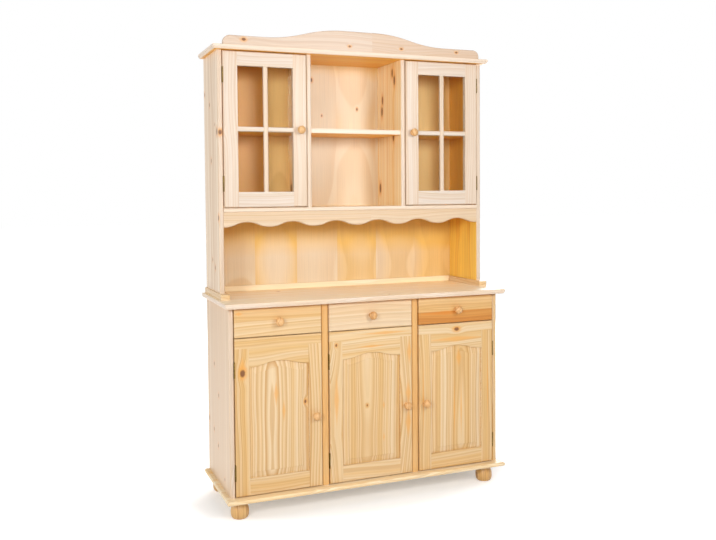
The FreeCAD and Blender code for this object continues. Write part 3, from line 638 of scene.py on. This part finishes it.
dress_side("base_side_left", wall_pine, upper_stile_pine)
dress_side("base_side_right", wall_pine, stile_pine)
for hand in GLAZED:
    dress_side("upper_side_" + hand, inner_pine, upper_stile_pine)
    dress_partition("partition_" + hand)
    dress("base_divider_" + hand, divider_pine)
    dress("foot_runner_" + hand, runner_pine)
    dress("glazed_hinges_" + hand, hinge_metal)
    dress("upper_hinges_" + hand, hinge_metal)
    dress("glass_pane_" + hand, window_glass)
    dress_glazed_frame("glazed_frame_" + hand, "glass_pane_" + hand)
for bay in BAYS:
    dress("base_shelf_" + bay, board_pine)
    dress_upper_shelf("upper_shelf_" + bay)
    dress("door_panel_" + bay, panel_pine)
    dress_door_frame("door_frame_" + bay, "door_panel_" + bay)
    dress("door_hinges_" + bay, hinge_metal)
    dress("base_hinges_" + bay, hinge_metal)
    dress("drawer_front_" + bay, DRAWER_PINES[bay])
    dress_drawer_box("drawer_box_" + bay)
    dress("drawer_bottom_" + bay, board_pine)
    dress("drawer_runners_" + bay, runner_pine)
dress_back("base_back_panel")
dress_back("upper_back_panel")
dress_board("worktop", worktop_pine)
dress_board("cornice_board", board_pine)
dress_board("upper_bottom_board", board_pine)
dress("base_board", board_pine)
dress("valance", trim_pine)
dress("crest_board", crest_pine)
dress("niche_back_rail", worktop_pine)
dress("door_stops", rail_pine)
dress("bun_feet", foot_pine)


# Turned pieces, drawn out ring by ring from a disc
KNOB_SEGMENTS = 48
FOOT_SEGMENTS = 56
SMOOTH_BELOW = math.radians(40)


def turned(name, profile, segments):
    """A solid of revolution about Z: profile holds radius and height in metres, from foot to crown."""
    bpy.ops.object.select_all(action="DESELECT")
    radius, height = profile[0]
    bpy.ops.mesh.primitive_circle_add(vertices=segments, radius=radius, fill_type="NGON",
                                      location=(0, 0, 0))
    piece = bpy.context.object
    piece.name = name
    bpy.ops.object.mode_set(mode="EDIT")
    bpy.ops.mesh.select_all(action="SELECT")
    bpy.ops.transform.translate(value=(0, 0, height))
    for next_radius, next_height in profile[1:]:
        bpy.ops.mesh.extrude_region_move(TRANSFORM_OT_translate={"value": (0, 0, next_height - height)})
        scale = next_radius / radius
        bpy.ops.transform.resize(value=(scale, scale, 1), center_override=(0, 0, 0))
        radius, height = next_radius, next_height
    bpy.ops.mesh.select_all(action="SELECT")
    bpy.ops.mesh.normals_make_consistent(inside=False)
    bpy.ops.object.mode_set(mode="OBJECT")
    bpy.ops.object.shade_smooth_by_angle(angle=SMOOTH_BELOW)
    return piece


def copied(pattern, name, matrix, material):
    """Another of the same, put in place through its mesh, so that its object stays at the origin."""
    piece = pattern.copy()
    piece.data = pattern.data.copy()
    piece.name = name
    piece.data.transform(matrix)
    piece.data.materials.clear()
    piece.data.materials.append(material)
    bpy.context.scene.collection.objects.link(piece)
    return piece


# A mushroom knob with a rounded crown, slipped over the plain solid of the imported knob, which stands
# this far out. The points of its flat crown lie within a hair of the very front.
KNOB_LENGTH = 31 * MM
CROWN = 0.1 * MM
KNOB_PROFILE = [(radius * MM, reach * MM) for radius, reach in (
    (10.5, 0), (10.5, 1.2), (9.6, 2.4), (8.8, 4.2), (8.5, 6.5), (8.9, 8.8), (10.4, 11.2), (12.9, 14.4),
    (15.2, 17.6), (16.1, 19.8), (16.35, 21.4), (16.1, 23.0), (15.2, 25.2), (13.6, 27.6), (11.4, 29.8),
    (8.8, 31.5), (5.6, 32.6), (2.4, 33.1), (0.6, 33.2))]
knob_pattern = turned("knob_pattern", KNOB_PROFILE, KNOB_SEGMENTS)

# Lays the upright knob down, with its crown to the front
facing = Matrix.Rotation(math.radians(90), 4, "X")


def fit_knob(node, body):
    """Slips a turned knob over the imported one, whose crown is what lies furthest forward."""
    front = low(node).y
    crown = [v.co for v in nodes[node].data.vertices if v.co.y < front + CROWN]
    centre = sum((Vector((c.x, 0, c.z)) for c in crown), Vector()) / len(crown)
    centre.y = front + KNOB_LENGTH
    piece = copied(knob_pattern, "turned_knob_" + body, Matrix.Translation(centre) @ facing, turned_pine)
    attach(piece, body)


for bay in BAYS:
    fit_knob("door_frame_" + bay, "base_door_" + bay)
    fit_knob("drawer_front_" + bay, "drawer_" + bay)
for bay in GLAZED:
    fit_knob("glazed_frame_" + bay, "glazed_door_" + bay)
bpy.data.objects.remove(knob_pattern)

# Bun feet with a full round belly under a short collar
FOOT_RADIUS = 35 * MM
FOOT_PROFILE = [(radius * MM, rise * MM) for radius, rise in (
    (25.5, 0.0), (27.5, 0.6), (30.4, 3.6), (32.8, 8.0), (34.3, 13.5), (35.0, 20.0), (35.0, 28.0),
    (34.3, 35.0), (32.8, 41.5), (30.6, 47.0), (29.0, 50.4), (28.6, 52.6), (29.2, 54.4), (30.5, 55.6),
    (30.5, 70.4), (30.0, 71.0))]
foot_pattern = turned("foot_pattern", FOOT_PROFILE, FOOT_SEGMENTS)
foot_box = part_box("bun_feet")
for across, x in (("left", foot_box[0].x + FOOT_RADIUS), ("right", foot_box[1].x - FOOT_RADIUS)):
    for depth, y in (("front", foot_box[0].y + FOOT_RADIUS), ("back", foot_box[1].y - FOOT_RADIUS)):
        name = "bun_foot_" + depth + "_" + across
        foot = copied(foot_pattern, name, Matrix.Translation((x, y, 0)), foot_pine)
        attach(foot, "carcass")
        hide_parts("bun_feet")
bpy.data.objects.remove(foot_pattern)


# Floor, light and camera

# The floor lies a hair under the feet. Its paint has large faint patches.
FLOOR_SIZE = 60
FLOOR_DROP = 0.2 * MM
PAINT_PATCH = 500 * MM
PAINT_WHITE = (0.84, 0.86)

# The floor turns to plain white between these distances, sooner in front and behind than beside the
# hutch. The light that is added for that goes from the first level to the second.
WHITE_REACH = (0.55, 0.95)
WHITE_SHAPE = (1, 2.2, 0)
WHITE_LIGHT = (0.28, 0.92)

# The studio lights the hutch from all round at the first level and is seen at the second, plain white
STUDIO_LEVELS = (0.13, 1.0)
WHITE = (1, 1, 1, 1)


def floor_paint(name):
    """Matt white studio floor: it keeps the shadow near the hutch and turns to plain white beyond."""
    material, tree, end = blank(name)
    place = add(tree, "TexCoord", output="Object")
    patch = add(tree, "TexNoise", {"Vector": place, "Scale": 1 / PAINT_PATCH})
    paint = add(tree, "MapRange", [patch, 0.0, 1.0, *PAINT_WHITE])
    matt = add(tree, "BsdfDiffuse", {"Color": paint})
    away = add(tree, "VectorMath", [place, WHITE_SHAPE], operation="MULTIPLY")
    away = add(tree, "VectorMath", [away], output="Value", operation="LENGTH")
    lift = add(tree, "MapRange", [away, *WHITE_REACH, *WHITE_LIGHT], interpolation_type="SMOOTHSTEP")
    lift = add(tree, "Math", [seen_rays(tree), lift], operation="MULTIPLY")
    glow = add(tree, "Emission", {"Color": WHITE, "Strength": lift})
    tree.links.new(add(tree, "AddShader", [matt, glow]), end.inputs["Surface"])
    return material


bpy.ops.object.select_all(action="DESELECT")
bpy.ops.mesh.primitive_plane_add(size=FLOOR_SIZE, location=(0, 0, -FLOOR_DROP))
floor = bpy.context.object
floor.name = "studio_floor"
floor.data.materials.append(floor_paint("floor_paint"))

world = bpy.data.worlds.new("studio")
bpy.context.scene.world = world
world.use_nodes = True
sky = world.node_tree
sky.nodes.clear()
level = add(sky, "MapRange", [seen_rays(sky), 0.0, 1.0, *STUDIO_LEVELS])
sky_end = sky.nodes.new("ShaderNodeOutputWorld")
sky.links.new(add(sky, "Background", {"Color": WHITE, "Strength": level}), sky_end.inputs["Surface"])

# Softboxes: where each stands, the point that it faces, its width in metres and its power in watts
SOFTBOXES = {
    "left_softbox": ((-2.6, -3.0, 1.8), (0, 0, 1.0), 0.8, 54),
    "front_softbox": ((-1.3, -3.6, 1.75), (0, 0, 1.0), 0.8, 24),
    "right_softbox": ((0.75, -2.4, 1.75), (0, 0, 1.0), 0.6, 26),
    "side_softbox": ((-4.0, 0.3, 1.5), (0, 0, 0.9), 2.4, 44),
    "overhead_softbox": ((0, -1.5, 3.8), (0, -0.4, 0.5), 2.4, 26),
    "rear_softbox": ((2.4, 3.6, 2.0), (0, 0.2, 0.9), 2.4, 88)}
for name, (place, target, width, power) in SOFTBOXES.items():
    light = bpy.data.lights.new(name, "AREA")
    light.shape = "SQUARE"
    light.size = width
    light.energy = power
    lamp = bpy.data.objects.new(name, light)
    lamp.location = place
    lamp.rotation_euler = (Vector(target) - Vector(place)).to_track_quat("-Z", "Y").to_euler()
    lamp.visible_camera = False
    bpy.context.scene.collection.objects.link(lamp)

# The camera was fitted to the photograph, and has less shift than the photograph. Frame and focal length
# are in pixels, the sensor in millimetres, the shift in frame widths, the eye and its sight in metres,
# and the turns in radians.
FRAME_WIDTH = 716
FOCAL_PIXELS = 832.16
SENSOR_WIDTH = 36
FRAME_SHIFT = -0.06
EYE = (-1.274, -3.2093, 1.2346)
HEADING = -0.3825
DOWNWARD_TILT = 0.042
ROLL = -0.0074
SIGHT = 200

camera = bpy.data.cameras.new("camera")
camera.lens = FOCAL_PIXELS * SENSOR_WIDTH / FRAME_WIDTH
camera.sensor_width = SENSOR_WIDTH
camera.shift_y = FRAME_SHIFT
camera.clip_end = SIGHT
eye = bpy.data.objects.new("camera", camera)
heading = Matrix.Rotation(HEADING, 4, "Z")
tilt = Matrix.Rotation(math.pi / 2 - DOWNWARD_TILT, 4, "X")
roll = Matrix.Rotation(ROLL, 4, "Z")
eye.matrix_world = Matrix.Translation(EYE) @ heading @ tilt @ roll
bpy.context.scene.collection.objects.link(eye)
bpy.context.scene.camera = eye
bpy.context.scene.view_settings.view_transform = "Standard"
